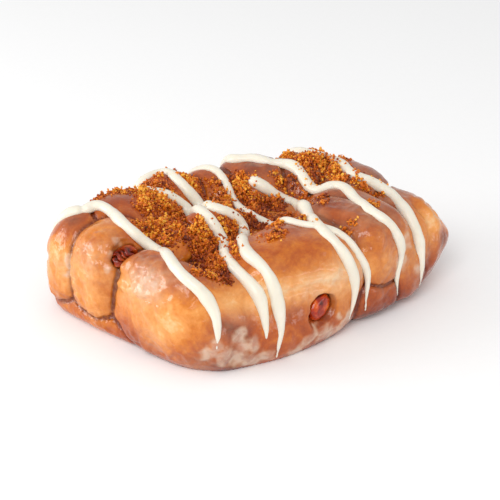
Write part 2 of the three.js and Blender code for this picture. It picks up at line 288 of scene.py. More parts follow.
def draw_in(field, starts, ways):
    """Goes from points outside along directions, and stops on the skin."""
    near = np.zeros(len(starts))
    far = np.zeros(len(starts))
    gap = field(starts)
    moving = np.flatnonzero(gap > 0)
    while moving.size:
        near[moving] = far[moving]
        far[moving] += np.maximum(SHORTEST_STEP, STEP_SHARE * gap[moving])
        gap[moving] = field(starts[moving] + ways[moving] * far[moving, None])
        moving = moving[(gap[moving] > 0) & (far[moving] < LENGTH)]
    for _ in range(HALVINGS):
        middle = (near + far) / 2
        outside = field(starts + ways * middle[:, None]) > 0
        near = np.where(outside, middle, near)
        far = np.where(outside, far, middle)
    return starts + ways * far[:, None]


def on_round_box(directions, centre, half, bulge):
    """Where directions from the centre of a rounded box meet its surface."""
    size = (np.abs(directions) ** bulge).sum(axis=1, keepdims=True) ** (1 / bulge)
    return np.array(centre) + directions / size * half


def noises(points, size, seed=0):
    """Smooth noise from -1 to 1 at each point, with lumps of about a size in mm."""
    shift = Vector([seed * part for part in SEED_SHIFT])
    return np.array([noise.noise(Vector(p) / size + shift) for p in points])


def facets(points, size):
    """A crumpled surface, about 0 to 1 high, with tilted facets of about a size in mm."""
    heights = []
    for p in points:
        place = Vector(p) / size
        (near, far, *_), (middle, *_) = noise.voronoi(place)
        tilt = noise.noise_vector(middle * 7.1)
        heights.append(min(far - near, FACET_RIM) * 2 + FACET_TILT * tilt.dot(place - middle))
    return np.array(heights)


def waves(points, layers):
    """The sum of several noises, each given as its height, its size in mm and its seed."""
    return sum(height * noises(points, size, seed) for height, size, seed in layers)


def ramp(values, ends, shares=(0, 1)):
    """A share that goes evenly from the first to the second between two ends."""
    return np.interp(values, ends, shares)


def near_spots(points, spots):
    """The sum over spots (middle, reach, amount) of the amount, fading over the reach."""
    total = np.zeros(len(points))
    for middle, reach, amount in spots:
        away = np.linalg.norm(points - middle, axis=1) / reach
        total += amount * np.exp(-(away**2))
    return total


# ---- Meshes ----

def points_of(mesh):
    flat = np.empty(len(mesh.vertices) * 3, np.float32)
    mesh.vertices.foreach_get("co", flat)
    return flat.reshape(-1, 3).astype(float)


def move_points(mesh, points):
    mesh.vertices.foreach_set("co", points.astype(np.float32).ravel())
    mesh.update()


def mesh_of(bm):
    mesh = bpy.data.meshes.new("mesh")
    bm.to_mesh(mesh)
    bm.free()
    return mesh


def remeshed(mesh, voxel):
    """The same form with faces of one size, and whatever overlaps run into one."""
    rough = bpy.data.objects.new("rough", mesh)
    bpy.context.scene.collection.objects.link(rough)
    voxels = rough.modifiers.new("voxels", "REMESH")
    voxels.mode = "VOXEL"
    voxels.voxel_size = voxel
    even = bpy.data.meshes.new_from_object(
        rough.evaluated_get(bpy.context.evaluated_depsgraph_get())
    )
    bpy.data.objects.remove(rough)
    return even


def smoothed(mesh, passes, factor=0.5):
    bm = bmesh.new()
    bm.from_mesh(mesh)
    for _ in range(passes):
        bmesh.ops.smooth_vert(
            bm, verts=bm.verts, factor=factor, use_axis_x=True, use_axis_y=True, use_axis_z=True
        )
    bm.to_mesh(mesh)
    bm.free()


def many(shapes):
    """One mesh of many small shapes, each as (points, faces, tone)."""
    points = np.concatenate([shape[0] for shape in shapes])
    starts = np.cumsum([0] + [len(shape[0]) for shape in shapes[:-1]])
    corners = np.concatenate([shape[1] + start for shape, start in zip(shapes, starts)])
    mesh = bpy.data.meshes.new("mesh")
    mesh.vertices.add(len(points))
    mesh.loops.add(corners.size)
    mesh.polygons.add(len(corners))
    mesh.vertices.foreach_set("co", points.astype(np.float32).ravel())
    mesh.loops.foreach_set("vertex_index", corners.astype(np.int32).ravel())
    mesh.polygons.foreach_set("loop_start", np.arange(0, corners.size, 3, dtype=np.int32))
    mesh.update(calc_edges=True)
    give(mesh, "tone", np.concatenate([np.full(len(shape[0]), shape[2]) for shape in shapes]))
    return mesh


def give(mesh, name, values):
    """A value for each point, which the material reads."""
    layer = mesh.attributes.new(name, "FLOAT", "POINT")
    layer.data.foreach_set("value", values.astype(np.float32))


def piece(name, mesh, material, smooth=True, replaces=None):
    mesh.transform(Matrix.Scale(MM, 4) @ Matrix.Translation(-MIDDLE))
    mesh.materials.clear()
    mesh.materials.append(material)
    mesh.polygons.foreach_set("use_smooth", np.full(len(mesh.polygons), smooth))
    mesh.name = name
    made = bpy.data.objects.new(name, mesh)
    bpy.context.scene.collection.objects.link(made)
    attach(made, "root")
    if replaces:
        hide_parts(replaces)
    return made


# ---- Materials ----

def colour(hex_code):
    """An sRGB colour such as c98a4b as linear red, green, blue and alpha."""
    channels = [int(hex_code[i : i + 2], 16) / 255 for i in (0, 2, 4)]
    linear = [c / 12.92 if c <= 0.04045 else ((c + 0.055) / 1.055) ** 2.4 for c in channels]
    return (*linear, 1)


def node(tree, kind, inputs=None, out=0, stops=(), **settings):
    """Adds a shader node with its settings and links, and gives the output that is used."""
    made = tree.nodes.new("ShaderNode" + kind)
    for name, value in settings.items():
        setattr(made, name, value)
    for name, value in (inputs or {}).items():
        if isinstance(value, bpy.types.NodeSocket):
            tree.links.new(value, made.inputs[name])
        else:
            made.inputs[name].default_value = value
    for _ in stops[2:]:
        made.color_ramp.elements.new(1)
    for element, (at, hex_code) in zip(made.color_ramp.elements if stops else (), stops):
        element.position = at
        element.color = colour(hex_code)
    return made.outputs[out] if len(made.outputs) else made


def new_material(name):
    """An empty material, its node tree, and the place of each point in metres."""
    material = bpy.data.materials.new(name)
    material.use_nodes = True
    tree = material.node_tree
    tree.nodes.clear()
    return material, tree, node(tree, "TexCoord", out="Object")


# The sockets of a Mix node that mixes colours.
FACTOR, FIRST, SECOND, MIXED = 0, 6, 7, 2


def fried_dough():
    # Yeast dough browned in hot oil and dipped in thin sugar glaze: golden where it was shaded
    # from the oil, brown on its crests and foot, mottled, and wet-looking through its clear coat,
    # with painted shade darkening its creases and hollows. Where the glaze ran together it set
    # milky.
    material, tree, place = new_material("fried_dough")
    browned = node(tree, "Attribute", out="Fac", attribute_name="browned")
    milky_glaze_and_sheen = node(tree, "Attribute", out="Fac", attribute_name="milky_glaze_and_sheen")
    painted_shade = node(tree, "Attribute", out="Fac", attribute_name="crease")
    mottle = node(
        tree,
        "TexNoise",
        {"Vector": place, "Scale": 1 / (8 * MM), "Detail": 4, "Roughness": 0.6, "Distortion": 0.8},
    )
    flecks = node(
        tree, "TexNoise", {"Vector": place, "Scale": 1 / (1.5 * MM), "Detail": 3, "Roughness": 0.6}
    )
    shade = node(tree, "Math", {0: mottle, 1: 0.6, 2: browned}, operation="MULTIPLY_ADD")
    shade = node(tree, "Math", {0: flecks, 1: 0.25, 2: shade}, operation="MULTIPLY_ADD")
    shade = node(tree, "Math", {0: shade, 1: 0.43}, operation="SUBTRACT")
    crust = node(
        tree,
        "ValToRGB",
        {"Fac": shade},
        stops=[
            (0.0, "f0c38e"),
            (0.16, "e7994c"),
            (0.36, "cf741b"),
            (0.56, "af4f0a"),
            (0.78, "8a3304"),
            (1.0, "431303"),
        ],
    )
    # Painted shade: creases and hollows are darkened towards 661c02.
    crust_with_painted_shade = node(
        tree,
        "Mix",
        {FACTOR: painted_shade, FIRST: crust, SECOND: colour("661c02")},
        MIXED,
        data_type="RGBA",
    )
    clouds = node(
        tree,
        "TexNoise",
        {"Vector": place, "Scale": 1 / (5 * MM), "Detail": 4, "Roughness": 0.6, "Distortion": 0.3},
    )
    # Milky glaze covers the dough where it pooled or set cloudy; at a few spots its pale colour is
    # partly a painted highlight.
    film = node(
        tree,
        "MapRange",
        {"Value": clouds, "From Min": 0.35, "From Max": 0.65, "To Min": 0.4},
        interpolation_type="SMOOTHSTEP",
    )
    film = node(tree, "Math", {0: film, 1: milky_glaze_and_sheen}, operation="MULTIPLY")
    sugar = node(
        tree,
        "Mix",
        {FACTOR: milky_glaze_and_sheen, FIRST: colour("deb784"), SECOND: colour("dac7b8")},
        MIXED,
        data_type="RGBA",
    )
    base = node(tree, "Mix", {FACTOR: film, FIRST: crust_with_painted_shade, SECOND: sugar}, MIXED, data_type="RGBA")
    wrinkles = node(
        tree,
        "TexNoise",
        {"Vector": place, "Scale": 1 / (2.4 * MM), "Detail": 3, "Distortion": 1.4},
    )
    pores = node(tree, "TexNoise", {"Vector": place, "Scale": 1 / (0.7 * MM), "Detail": 2})
    skin = node(tree, "Bump", {"Height": wrinkles, "Distance": 0.35 * MM, "Strength": 0.5})
    skin = node(
        tree, "Bump", {"Height": pores, "Distance": 0.12 * MM, "Strength": 0.4, "Normal": skin}
    )
    glaze = node(tree, "Bump", {"Height": wrinkles, "Distance": 0.4 * MM, "Strength": 0.5})
    surface = node(
        tree,
        "BsdfPrincipled",
        {
            "Base Color": base,
            "Roughness": 0.5,
            "Subsurface Weight": 0.1,
            "Subsurface Radius": (1.0, 0.42, 0.18),
            "Subsurface Scale": 1.2 * MM,
            "Specular IOR Level": 0.1,
            "Coat Weight": 1.0,
            "Coat Roughness": 0.1,
            "Coat IOR": 1.44,
            "Normal": skin,
            "Coat Normal": glaze,
        },
    )
    node(tree, "OutputMaterial", {"Surface": surface})
    return material


def white_icing():
    # Fondant icing of powdered sugar and milk, piped warm: it set smooth, rounded and a little
    # translucent, with a soft satin skin.
    material, tree, place = new_material("white_icing")
    cloud = node(tree, "TexNoise", {"Vector": place, "Scale": 1 / (6 * MM), "Detail": 2})
    base = node(
        tree,
        "Mix",
        {FACTOR: cloud, FIRST: colour("eee8d9"), SECOND: colour("e2dac8")},
        MIXED,
        data_type="RGBA",
    )
    ripples = node(tree, "TexNoise", {"Vector": place, "Scale": 1 / (1.8 * MM), "Detail": 2})
    surface = node(
        tree,
        "BsdfPrincipled",
        {
            "Base Color": base,
            "Roughness": 0.42,
            "Subsurface Weight": 0.4,
            "Subsurface Radius": (1.0, 0.85, 0.65),
            "Subsurface Scale": 1.0 * MM,
            "Specular IOR Level": 0.45,
            "Coat Weight": 0.3,
            "Coat Roughness": 0.2,
            "Normal": node(
                tree, "Bump", {"Height": ripples, "Distance": 0.12 * MM, "Strength": 0.4}
            ),
        },
    )
    node(tree, "OutputMaterial", {"Surface": surface})
    return material


def brown_sugar_crumb():
    # Brown sugar rubbed with butter and cinnamon: moist grains, from toffee where they are dry and
    # lit to near black-red where glaze has soaked them and where painted shade darkens the low
    # ones.
    material, tree, place = new_material("brown_sugar_crumb")
    tone = node(tree, "Attribute", out="Fac", attribute_name="tone")
    crystals = node(tree, "TexNoise", {"Vector": place, "Scale": 1 / (0.45 * MM), "Detail": 2})
    shade = node(tree, "Math", {0: crystals, 1: 0.4, 2: tone}, operation="MULTIPLY_ADD")
    shade = node(tree, "Math", {0: shade, 1: 0.2}, operation="SUBTRACT")
    base = node(
        tree,
        "ValToRGB",
        {"Fac": shade},
        stops=[
            (0.0, "300600"),
            (0.3, "842c01"),
            (0.6, "cb6202"),
            (0.85, "ea8c10"),
            (1.0, "fab840"),
        ],
    )
    surface = node(
        tree,
        "BsdfPrincipled",
        {
            "Base Color": base,
            "Roughness": 0.5,
            "Subsurface Weight": 0.2,
            "Subsurface Radius": (1.0, 0.4, 0.12),
            "Subsurface Scale": 0.5 * MM,
            "Specular IOR Level": 0.5,
            "Normal": node(
                tree, "Bump", {"Height": crystals, "Distance": 0.2 * MM, "Strength": 0.8}
            ),
        },
    )
    node(tree, "OutputMaterial", {"Surface": surface})
    return material


def stewed_apple():
    # Apple cooked soft in caramel: translucent red-brown flesh, wet all over.
    material, tree, place = new_material("stewed_apple")
    flesh = node(
        tree,
        "TexNoise",
        {"Vector": place, "Scale": 1 / (4 * MM), "Detail": 3, "Roughness": 0.5, "Distortion": 0.5},
    )
    base = node(
        tree,
        "ValToRGB",
        {"Fac": flesh},
        stops=[(0.3, "5a0f00"), (0.46, "a82803"), (0.6, "d05408"), (0.8, "e08838")],
    )
    # The left piece is darker all over, and darker still in the grooves between its slivers as
    # painted shade.
    between = node(tree, "Attribute", out="Fac", attribute_name="between")
    base = node(
        tree,
        "Mix",
        {FACTOR: between, FIRST: base, SECOND: colour("2c0500")},
        MIXED,
        data_type="RGBA",
    )
    surface = node(
        tree,
        "BsdfPrincipled",
        {
            "Base Color": base,
            "Roughness": 0.25,
            "Subsurface Weight": 0.3,
            "Subsurface Radius": (1.0, 0.3, 0.1),
            "Subsurface Scale": 1.5 * MM,
            "Specular IOR Level": 0.2,
            "Coat Weight": 0.6,
            "Coat Roughness": 0.06,
            "Normal": node(
                tree, "Bump", {"Height": flesh, "Distance": 0.5 * MM, "Strength": 0.25}
            ),
        },
    )
    node(tree, "OutputMaterial", {"Surface": surface})
    return material


def white_paper():
    # A sweep of matt white paper.
    material, tree, place = new_material("white_paper")
    fibres = node(tree, "TexNoise", {"Vector": place, "Scale": 1 / (3 * MM)})
    surface = node(
        tree,
        "BsdfPrincipled",
        {
            "Base Color": node(
                tree,
                "Mix",
                {FACTOR: fibres, FIRST: colour("fafafa"), SECOND: colour("fcfcfc")},
                MIXED,
                data_type="RGBA",
            ),
            "Roughness": 0.9,
            "Specular IOR Level": 0.1,
        },
    )
    node(tree, "OutputMaterial", {"Surface": surface})
    return material


# ---- The dough ----

SKIN_CUTS = (44, 36, 15)  # the wrap's cuts along x, y and z
SKIN_VOXELS = (1.1, 0.65)  # the skin's faces, first rough and then fine

# A crease is pinched in this much deeper than the groove that it lies in.
PINCH_DEPTH = 1.1
PINCH_WIDTH = 0.6

# The skin's broad unevenness: each wave's height, its size in mm and its seed.
SKIN_WAVES = [(0.7, 11, 1), (0.3, 5, 2)]
# Fine bubbles along the foot of the left end, and where they fade out along x and up.
BUBBLES = [(0.5, 2.2, 11), (0.25, 1.2, 12)]
BUBBLES_X = [-50, -38]
BUBBLES_Z = [9, 17]
# The relief grows from none to all of it between these heights, and the skin under the next one
# lies flat.
RELIEF_HEIGHTS = [0, 5]
FLAT_UNDER = 0.35
# Beside a fold the skin rises: how far from it and over what width, in its half widths, and by
# what share of its depth.
FOLD_LIP = 2.1
FOLD_LIP_WIDTH = 1.1
FOLD_LIP_SHARE = 0.35

# Folds in single pillows: (depth, half width), then the points they run through. A depth
# below 0 makes a ridge.
FOLDS = [
    # two along the waist of the big front pillow
    ((0.6, 1.1), [(-22, -40, 25), (-16, -41, 24), (-8, -44, 24), (0, -46, 22)]),
    ((0.4, 0.9), [(-21, -39, 28), (-15, -40, 27), (-8, -43, 27), (2, -45, 25)]),
    # round and across the flat place on the corner pillow's left side
    (
        (-0.4, 1.0),
        [
            (-56, 7, 23), (-57, 1, 24), (-57, -6, 25), (-56, -13, 26), (-55, -16, 29),
            (-53, -20, 32),
        ],
    ),
    ((0.6, 0.8), [(-56, -1, 28), (-55, -4, 30), (-54, -7, 33), (-52, -7, 34)]),
    ((0.5, 0.8), [(-57, -3, 26), (-56, -6, 30), (-55, -7, 32)]),
    # the recess beside the near corner
    ((1.5, 2.6), [(-46, -35, 20), (-44, -37, 17), (-43, -38, 11), (-43, -37, 5)]),
    # between the right end's pillow and its tip
    ((1.2, 1.8), [(50, -38, 33), (50, -44, 27), (48, -47, 21), (47, -48, 14)]),
]

# Where the skin crumpled as it cooled: the middle, the reach, a facet's size, and its depth.
CRUMPLES = [
    ((-55, -1, 29), 11, 6.5, 0.9),
    ((-57, -11, 23), 10, 6, 0.6),
    ((-57, 17, 31), 9, 5, 0.7),
    ((-61, 32, 20), 9, 4, 0.6),
    ((-60, 20, 10), 11, 4, 0.5),
    ((-57, -8, 8), 12, 5, 0.5),
    ((50, -42, 25), 11, 5, 0.6),
    ((22, -47, 12), 10, 5, 0.6),
    ((40, -46, 16), 9, 4.5, 0.6),
]

# Where milky glaze ran together and set, as points and its reach around each.
POOLS = [
    # round the near corner's foot
    ((-51, -32, 9), 4), ((-46, -36, 7), 5), ((-41, -38, 6), 5), ((-36, -39, 4), 4.5),
    ((-41, -38, 14), 3.5), ((-38, -39, 10), 4), ((-32, -41, 4), 4), ((-49, -34, 13), 3),
    # under the hole in the front
    ((-19, -43, 2), 4), ((-15, -46, 5), 4), ((-13, -46, 8), 2.5), ((-9, -46, 5), 4),
    ((-4, -46, 4), 4.5), ((0, -46, 4), 4.5), ((3, -46, 7), 3), ((-2, -47, 10), 2),
    # in the creases of the left end
    ((-59, 30, 24), 3), ((-59, 30, 19), 3), ((-54, 12, 31), 3), ((-54, 8, 29), 2.6),
    ((-51, 13, 35), 2.6), ((-49, 7, 34), 2), ((-56, 11, 27), 2),
    # in the creases of the right end
    ((30, -48, 19), 4), ((35, -47, 25), 4), ((38, -48, 13), 4), ((12, -45, 22), 3),
    ((41, -44, 29), 3),
]
POOL_RISE = 0.14
POOL_RAGGED = 2.5  # how far a pool's edge wanders
POOL_WAVES = [(0.3, 4.5, 7), (0.15, 1.6, 8)]
POOL_EDGE = [-0.05, 0.4]  # from no cover to full cover

# Where the thin film of glaze set cloudy: the middle, the reach and how much. On the left end's
# pillows and the front of the right half these pale spots are partly a painted highlight.
GLAZED_AND_SHEEN = [
    ((-56, -4, 28), 7, 0.7), ((-55, -12, 29), 6, 0.6), ((-51, -20, 32), 4, 0.2),
    ((-60, 20, 28), 5, 0.3), ((-61, 33, 23), 4, 0.3), ((26, -38, 33), 8, 0.2),
    ((48, -22, 34), 5, 0.2), ((-58, -12, 10), 7, 0.25), ((2, -44, 26), 8, 0.25),
    ((-9, -44, 22), 7, 0.15),
]


def distance_to_line(points, line):
    """How far each point is from a line through several points."""
    least = np.full(len(points), np.inf)
    for a, b in zip(line, line[1:]):
        a, b = np.array(a, float), np.array(b, float)
        along = ((points - a) @ (b - a) / ((b - a) @ (b - a))).clip(0, 1)
        least = np.minimum(least, np.linalg.norm(points - a - along[:, None] * (b - a), axis=1))
    return least


def pooled(points):
    """How much of each point is under milky glaze, from 0 to 1, with ragged edges."""
    cover = np.full(len(points), -1.0)
    wander = np.stack([noises(points, 4, seed) for seed in (21, 22, 23)], axis=1)
    ragged = points + POOL_RAGGED * wander
    for middle, reach in POOLS:
        cover = np.maximum(cover, 1 - np.linalg.norm(ragged - middle, axis=1) / reach)
    cover += waves(points, POOL_WAVES)
    return ramp(cover, POOL_EDGE)


def dough_relief(points, crease, pool):
    """How far the skin stands out from the plain pillows, in mm."""
    relief = waves(points, SKIN_WAVES)
    wrinkled = (noises(points, 22, 3) + 0.15).clip(0, 0.5)
    relief += wrinkled * (0.9 - 2.2 * np.abs(noises(points, 4.5, 4)))
    relief -= PINCH_DEPTH * crease
    for (depth, half_width), line in FOLDS:
        away = distance_to_line(points, line) / half_width
        relief -= depth * np.exp(-(away**2))
        lip = np.exp(-(((away - FOLD_LIP) / FOLD_LIP_WIDTH) ** 2))
        relief += FOLD_LIP_SHARE * depth * lip
    for middle, reach, size, depth in CRUMPLES:
        away = np.linalg.norm(points - middle, axis=1) / reach
        close = np.flatnonzero(away < 1.3)
        relief[close] += depth * np.exp(-(away[close] ** 4)) * facets(points[close], size)
    bubbly = ramp(points[:, 0], BUBBLES_X, [1, 0]) * ramp(points[:, 2], BUBBLES_Z, [1, 0])
    relief += bubbly * waves(points, BUBBLES)
    return relief + POOL_RISE * pool


# How much darker or paler the crust is away from the rule, mostly as browning: the middle, the
# reach and the change. The right tip's face and the pillow beside it are paled partly as a painted
# highlight, and the recess beside the near corner is darker.
BROWNING_AND_SHEEN = [
    ((-46, -35, 20), 5, 0.3),
    ((-40, -38, 18), 6, 0.3),
    ((-58, -20, 6), 8, 0.15),
    ((-57, -20, 13), 8, -0.1),
    ((-46, -33, 8), 8, 0.22),
    ((-38, -38, 9), 8, 0.12),
    ((-42, -37, 4), 12, 0.1),
    ((-58, -4, 7), 9, 0.15),
    ((-50, 25, 36), 9, -0.25),
    ((-53, 33, 35), 6, 0.25),
    ((-58, 12, 22), 5, 0.15),
    ((-9, -46, 13), 10, 0.15),
    ((-22, -41, 15), 8, 0.15),
    ((-50, -31, 21), 9, 0.1),
    ((-58, -14, 14), 9, -0.12),
    ((-60, 22, 4), 20, -0.12),
    ((53, -40, 30), 7, -0.15),
    ((18, -48, 9), 9, 0.12),
    ((56, -48, 20), 4, 0.4),
    ((52, -45, 26), 6, -0.3),
    ((46, -48, 10), 7, 0.2),
    ((-12, -28, 36), 9, -0.15),
    ((2, -36, 34), 6, -0.1),
]
# How browned it is by the rule, at several heights.
HEIGHTS = (0, 4, 10, 18, 25, 31, 36, 40)
BROWNED = (0.66, 0.56, 0.43, 0.34, 0.28, 0.46, 0.62, 0.68)
# The dark beside a crease is painted shade.
SHADE_WIDTH = 2  # how far the dark of a crease spreads beside it
SKY_REACH = 3  # how far out the skin is looked at to see whether it lies in a hollow


def browning(points):
    """How browned the crust is, from 0, pale, to 1, dark, with the right tip's face paled partly
    as a painted highlight.
    """
    x, y, z = points.T
    value = np.interp(z, HEIGHTS, BROWNED) + 0.12 * noises(points, 16, 5)
    # The left end is a little paler above its foot, the big front pillow has a pale waist, and
    # the right half is darker.
    value -= 0.05 * (x < -45) * ramp(z, [8, 14])
    value -= 0.22 * np.exp(-(((z - 25) / 4.5) ** 2)) * ramp(y, [-36, -24], [1, 0]) * (x < 8)
    value += 0.12 * ramp(x, [5, 30])
    return (value + near_spots(points, BROWNING_AND_SHEEN)).clip(0, 1)


def cloudy_film_and_sheen(points):
    """How cloudy the thin film of glaze is, most of all round the front's waist, with pale spots
    that are partly a painted highlight.
    """
    x, y, z = points.T
    film = (0.3 * noises(points, 14, 6)).clip(0, 0.2)
    film += 0.1 * ramp(x, [5, 25]) * ramp(z, [12, 24])
    film += 0.3 * np.exp(-(((z - 24) / 6) ** 2)) * ramp(y, [-38, -28], [1, 0]) * (x < 12)
    return (film + near_spots(points, GLAZED_AND_SHEEN)).clip(0, 0.75)


def make_dough(material):
    bm = bmesh.new()
    bmesh.ops.create_cube(bm, size=2)
    for axis, cuts in enumerate(SKIN_CUTS):
        edges = [e for e in bm.edges if abs((e.verts[0].co - e.verts[1].co)[axis]) > 1]
        bmesh.ops.subdivide_edges(bm, edges=edges, cuts=cuts, use_grid_fill=True)
    mesh = mesh_of(bm)
    directions = points_of(mesh)
    starts = on_round_box(directions, bulge=WRAP_BULGE, **WRAP)
    ways = on_round_box(directions, bulge=KERNEL_BULGE, **KERNEL) - starts
    ways /= np.linalg.norm(ways, axis=1, keepdims=True)
    move_points(mesh, draw_in(bedded_dough, starts, ways))
    for voxel in SKIN_VOXELS:
        mesh = remeshed(mesh, voxel)
        points = onto(bedded_dough, points_of(mesh), 3)
        move_points(mesh, points)
        smoothed(mesh, 2)
    points = onto(bedded_dough, points_of(mesh), 2)
    out = outward(bedded_dough, points)
    away, sharpness = seams(points)
    crease = sharpness * np.exp(-((away / PINCH_WIDTH) ** 2))
    shade = sharpness * np.exp(-away / SHADE_WIDTH)
    pool = pooled(points)
    relief = dough_relief(points, crease, pool) * ramp(points[:, 2], RELIEF_HEIGHTS)
    points += out * relief[:, None]
    points[:, 2] = np.where(points[:, 2] < FLAT_UNDER, 0, points[:, 2])
    move_points(mesh, points)
    smoothed(mesh, 1, 0.3)
    # Skin that lies in a hollow or a crease is darkened in its colour as painted shade, less so
    # under pools of glaze.
    open_sky = raft(points + SKY_REACH * out) / SKY_REACH
    sheltered = (0.7 - open_sky * 1.25).clip(0, 1)
    painted_shade = 0.5 * sheltered + 0.9 * crease + 0.25 * shade
    give(mesh, "crease", painted_shade.clip(0, 0.95) * (1 - 0.5 * pool))
    give(mesh, "browned", browning(points))
    give(mesh, "milky_glaze_and_sheen", np.maximum(cloudy_film_and_sheen(points), 0.7 * pool))
    return piece("fried_dough", mesh, material, replaces="fritter")


# ---- The icing ----

ICING_VOXEL = 0.385
UNDER_SHARE = 0.45  # how far a band goes into the dough, as a share of half its width
# A band's width changes by these shares over these lengths, and it swells before its tail.
WOBBLE = ((0.2, 9, 0), (0.07, 3, 5))
SWELL = 0.1
SWELL_LENGTH = 6


def along_route(points, step):
    """Evenly spaced points of a smooth curve through points."""
    points = np.array(points, float)
    ends = np.vstack([2 * points[0] - points[1], points, 2 * points[-1] - points[-2]])
    curve = []
    for a, b, c, d in zip(ends, ends[1:], ends[2:], ends[3:]):
        for t in np.arange(0, 1, 0.05):
            bend = (2 * a - 5 * b + 4 * c - d) * t**2
            twist = (3 * b - a - 3 * c + d) * t**3
            curve.append(0.5 * (2 * b + (c - a) * t + bend + twist))
    curve.append(points[-1])
    curve = np.array(curve)
    reach = np.concatenate([[0], np.cumsum(np.linalg.norm(np.diff(curve, axis=0), axis=1))])
    count = max(2, round(reach[-1] / step))
    even = np.linspace(0, reach[-1], count + 1)
    return np.stack([np.interp(even, reach, curve[:, axis]) for axis in range(3)], axis=1)


def softened(values, passes):
    """Values along a line with each drawn towards its neighbours, and the ends kept."""
    for _ in range(passes):
        values[1:-1] = 0.25 * values[:-2] + 0.5 * values[1:-1] + 0.25 * values[2:]
    return values


def laid_route(points, step=1.0):
    """A route laid on the dough, which bridges its narrow creases, and the way out along it."""
    route = onto(dough, along_route(onto(dough, np.array(points, float), 12), step), 8)
    route = softened(route, 14)
    sunk = raft(route) < 0
    route[sunk] = onto(dough, route[sunk], 8)
    route = softened(route, 3)
    out = softened(outward(dough, route), 6)
    return route, out / np.linalg.norm(out, axis=1, keepdims=True)


def band_width(along, length, half, seed):
    """Half a band's width at a distance along it, round at its start and thin at its tail."""
    wobble = 0.95
    for share, size, shift in WOBBLE:
        wobble += share * noise.noise(Vector((along / size, seed, shift)))
    swell = SWELL * math.exp(-(((length - along - BAND_TAIL - 2) / SWELL_LENGTH) ** 2))
    start = math.sqrt(max(0, 1 - (1 - min(1, along / (1.3 * half))) ** 2))
    left = min(1, (length - along) / BAND_TAIL)
    return max(TAIL_TIP, half * (wobble + swell) * left**0.85) * start


def make_icing(material):
    bm = bmesh.new()
    for seed, (name, points) in enumerate(BANDS.items()):
        usual = BAND_WIDTH / 2 * NARROW.get(name, 1)
        route, out = laid_route(points)
        steps = len(route) - 1
        length = np.linalg.norm(np.diff(route, axis=0), axis=1).sum()
        ahead = np.gradient(route, axis=0)
        ahead /= np.linalg.norm(ahead, axis=1, keepdims=True)
        up = out - (out * ahead).sum(axis=1, keepdims=True) * ahead
        up /= np.linalg.norm(up, axis=1, keepdims=True)
        side = np.cross(ahead, up)
        ball = bmesh.ops.create_uvsphere(bm, u_segments=20, v_segments=2 * steps, radius=1)
        for vert in ball["verts"]:
            share = math.acos(max(-1, min(1, vert.co.z))) / math.pi
            at = share * steps
            i = min(int(at), steps - 1)
            f = at - i
            middle, lift, across = (a[i] * (1 - f) + a[i + 1] * f for a in (route, up, side))
            half = band_width(share * length, length, usual, seed)
            angle = math.atan2(vert.co.y, vert.co.x)
            if math.hypot(vert.co.x, vert.co.y) < 1e-6:
                half = 0
            height = half * (1.0 if math.sin(angle) > 0 else UNDER_SHARE)
            point = middle + across * half * math.cos(angle) + lift * height * math.sin(angle)
            vert.co = Vector(point)
    mesh = remeshed(mesh_of(bm), ICING_VOXEL)
    smoothed(mesh, 3)
    return piece("white_icing", mesh, material)


# ---- The crumb ----

# Where crumb lies: x, y, the radius, and how thick it lies there, from 0 to 1.
CRUMB_PATCHES = [
    # along the back edge of the left end
    (-36, 42, 4, 0.5), (-31, 41, 4, 0.6), (-27, 40, 4, 0.6), (-22, 40, 5, 0.7), (-16, 41, 5, 0.7),
    # between the left crest and the first round drips
    (-20, 34, 6, 0.9), (-13, 31, 5, 0.8), (-26, 25, 5, 0.8), (-20, 23, 6, 1.0), (-15, 22, 5, 0.9),
    (-30, 16, 5, 0.9), (-37, 14, 4, 0.8), (-33, 9, 5, 0.9), (-36, 4, 4, 0.8), (-28, 11, 5, 0.7),
    # the near valley and its walls
    (-24, 2, 4, 0.7), (-20, -1, 5, 0.9), (-25, -2, 4, 0.9), (-22, -6, 4, 1.0), (-28, -7, 5, 1.0),
    (-32, -14, 5, 1.0), (-27, -13, 4, 1.0), (-37, -20, 4, 1.0), (-41, -21, 3, 0.8),
    (-35, -24, 3, 0.7), (-31, -19, 3, 0.9),
    # right of the long drip's first crest
    (-11, 6, 4, 0.7), (-7, 5, 4, 0.8), (-10, -2, 4, 0.9), (-14, -5, 4, 0.9), (-8, -6, 4, 0.8),
    (-22, -14, 3, 0.9), (-25, -20, 3, 0.8),
    # the middle of the top, at the back
    (-4, 38, 4, 0.5), (0, 28, 5, 0.8), (3, 22, 6, 0.9), (12, 20, 4, 1.0), (11, 13, 5, 1.0),
    (5, 15, 5, 0.9), (15, 7, 5, 1.0), (17, 2, 4, 0.9), (8, 6, 5, 1.0),
    # behind the big front pillow
    (0, 0, 4, 0.9), (6, 2, 4, 1.0), (5, -5, 4, 0.9), (1, -14, 4, 0.6), (-5, -19, 3, 0.6),
    (13, -10, 4, 0.8), (5, -23, 2.5, 0.5), (-10, -24, 3, 0.6), (-14, -23, 3, 0.5),
    (10, -4, 4, 0.8),
    # the glazed valley between the two rows of pillows
    (24, 7, 3.5, 0.6), (26, 2, 3.5, 0.7), (29, -2, 3.5, 0.8), (31, -5, 3, 0.6), (19, -18, 3, 0.6),
    # the back of the right half
    (36, 6, 5, 0.9), (41, 6, 5, 1.0), (47, 6, 5, 1.0), (49, 0, 5, 1.0), (44, -3, 5, 0.8),
    (41, -8, 5, 0.8), (37, 1, 4, 0.8), (38, -10, 4, 0.8), (44, 12, 4, 0.6), (37, 14, 4, 0.4),
    (41, -16, 3.5, 0.8), (43, -20, 3, 0.7), (46, -23, 3, 0.5), (31, -32, 2, 0.5),
    (15, -36, 1.8, 0.6), (6, -29, 1.6, 0.7),
]
